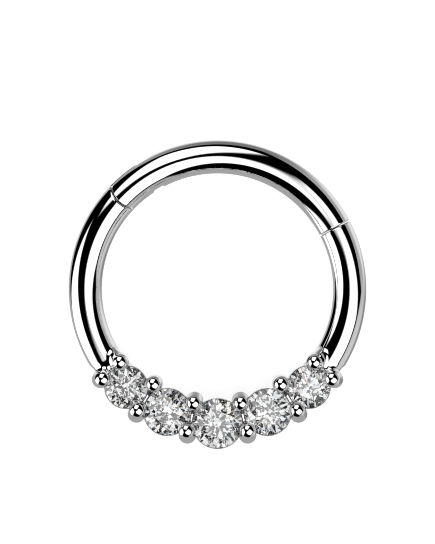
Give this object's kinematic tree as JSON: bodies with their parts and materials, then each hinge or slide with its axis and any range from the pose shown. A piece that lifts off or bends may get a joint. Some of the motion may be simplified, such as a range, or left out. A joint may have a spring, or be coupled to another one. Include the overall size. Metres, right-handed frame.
{
  "type": "hinged clicker ring",
  "caption": "Hinged segment ring of round polished wire with a graduated row of claw-set round brilliants along its front.",
  "frame": {"origin": "centre of the hoop's hole, on the mid-plane of the wire", "axes": "+Z is the side that the stones face, up where the ring lies on its back; +Y points from the middle stone to the plain top of the hoop; +X to the right seen from the front"},
  "size_m": [0.0106, 0.011, 0.0016],
  "materials": {
    "polished_steel": "mirror-polished surgical steel",
    "clear_stone": "clear cubic zirconia, brilliant cut and polished"
  },
  "bodies": {
    "body": {"ring_body": "polished_steel", "hinge_pin": "polished_steel", "stone_left_end": "clear_stone", "stone_left_mid": "clear_stone", "stone_centre": "clear_stone", "stone_right_mid": "clear_stone", "stone_right_end": "clear_stone"},
    "segment": {"hinged_segment": "polished_steel"}
  },
  "joints": [
    {"name": "segment_hinge", "type": "hinge", "parent": "body", "child": "segment", "pos_m": [-0.00294, 0.00373, 0], "axis": [0, 0, 1], "range_deg": [0, 98]}
  ]
}
